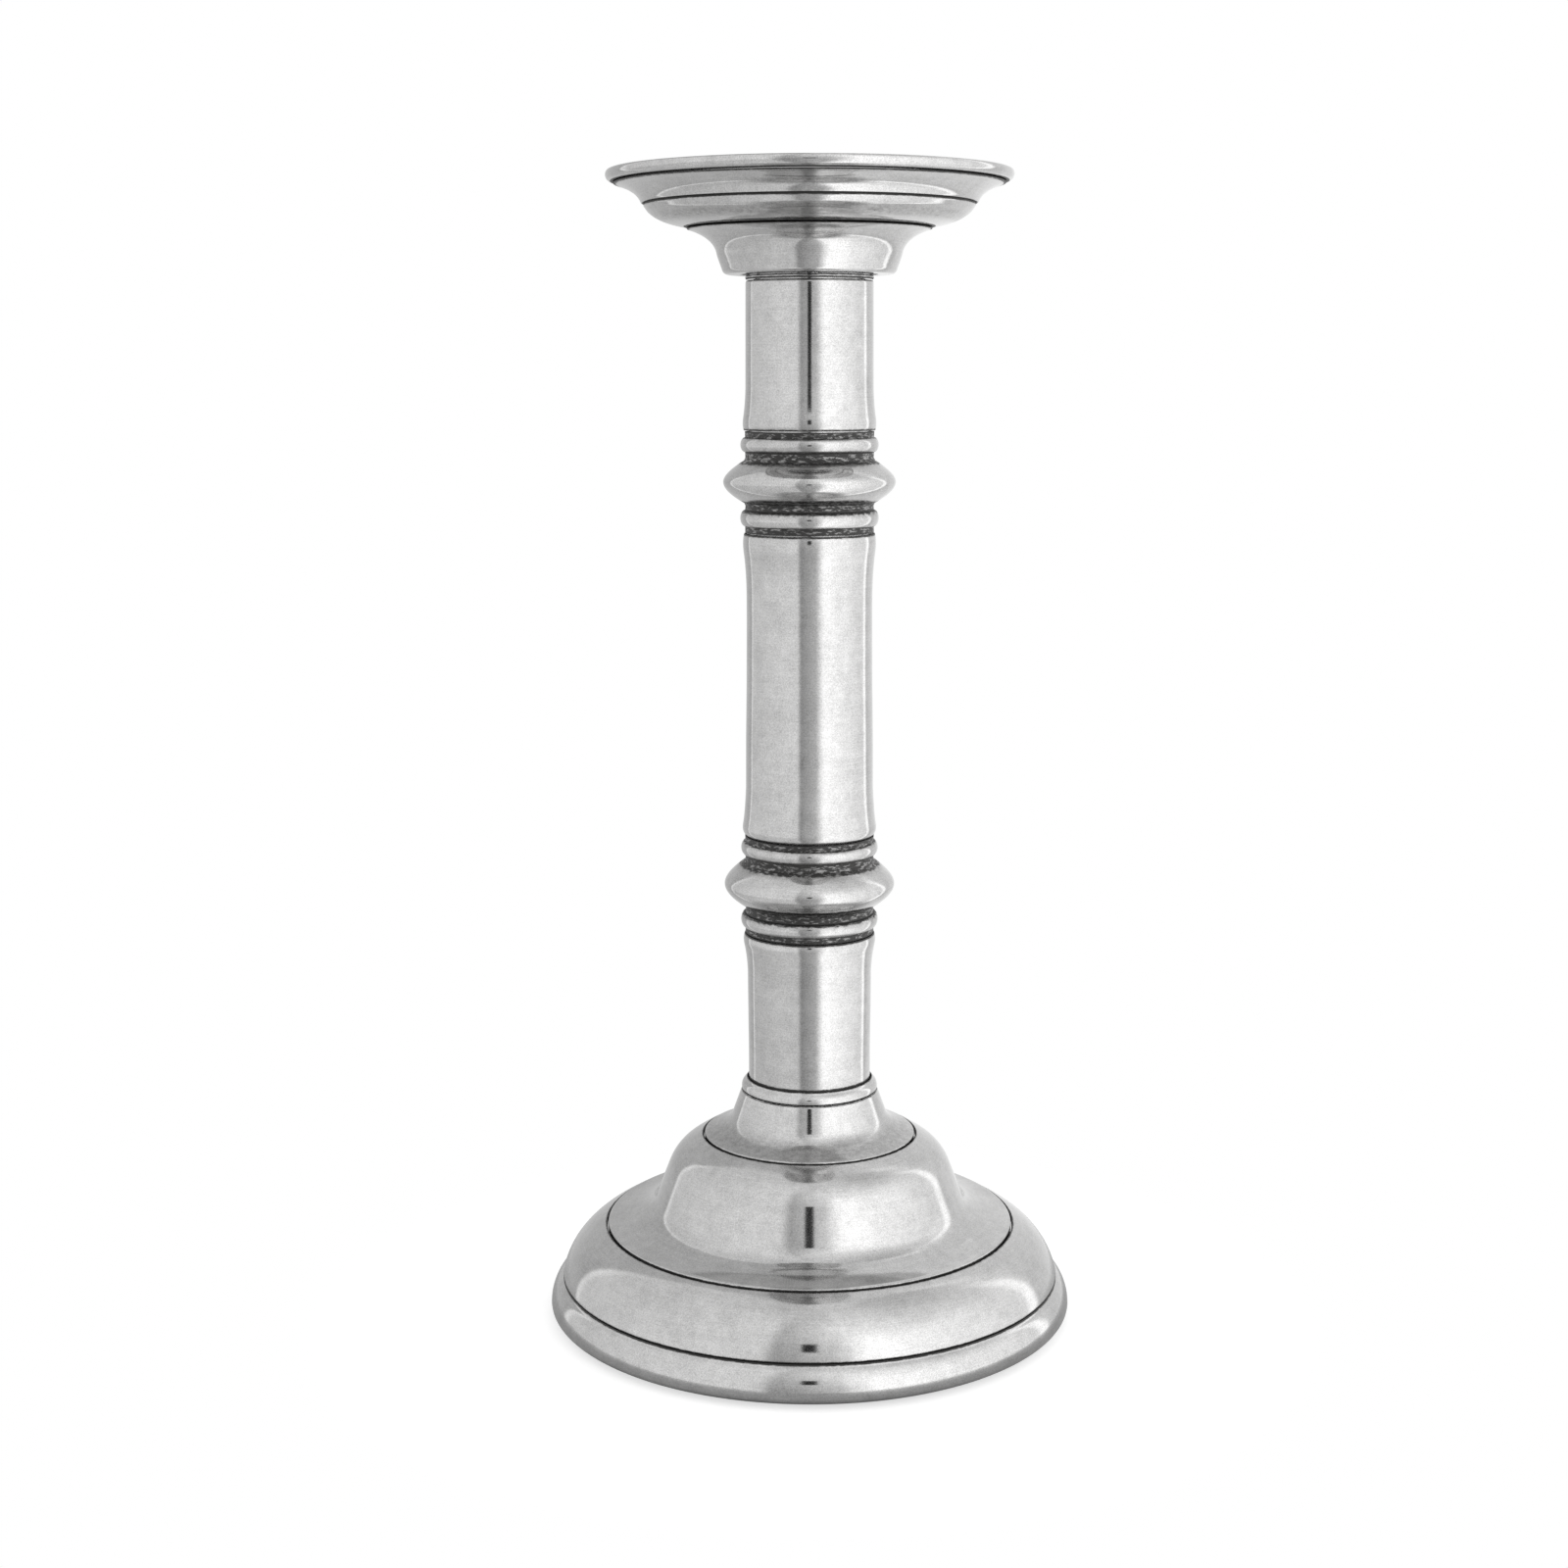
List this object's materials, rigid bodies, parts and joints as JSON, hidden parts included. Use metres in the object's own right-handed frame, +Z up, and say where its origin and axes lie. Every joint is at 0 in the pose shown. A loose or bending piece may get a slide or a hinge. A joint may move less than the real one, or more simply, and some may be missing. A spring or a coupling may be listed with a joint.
{
  "type": "pillar candlestick",
  "caption": "Turned metal pillar candlestick: stepped round base, tubular column with beaded knops, and a lift-off drip pan with a short spike.",
  "frame": {"origin": "on the column's axis, in the plane that the foot ring and felt rest on", "axes": "+Z up the column towards the candle; the object is round, so +X and +Y are any two level directions"},
  "size_m": [0.1396, 0.1396, 0.3],
  "materials": {
    "silver": "antique silver pewter, satin with fine grain, near-black oxide in the grooves",
    "steel": "plain zinc-plated fastener steel",
    "iron": "rough casting",
    "felt": "dark green wool felt"
  },
  "bodies": {
    "stand": {"felt_pad": "felt", "bottom_plate": "steel", "base_weight": "iron", "foot_ring": "silver", "base_skirt": "silver", "base_dome": "silver", "base_cone": "silver", "base_collar": "silver", "lower_tube": "silver", "lower_knop": "silver", "middle_tube": "silver", "upper_knop": "silver", "upper_tube": "silver", "top_plug": "steel", "tie_rod": "steel", "rod_nut_bottom": "steel", "rod_washer_bottom": "steel", "rod_nut_top": "steel", "rod_washer_top": "steel"},
    "pan": {"seat_ring": "silver", "pan_spigot": "silver", "pan_cup": "silver", "spacer_sleeve": "steel", "drip_pan": "silver", "pan_rim": "silver", "pricket": "silver", "pricket_washer": "steel", "pricket_nut": "steel"}
  },
  "joints": [
    {"name": "pan_lift", "type": "slide", "parent": "stand", "child": "pan", "axis": [0, 0, 1], "range_m": [0, 0.04]}
  ]
}
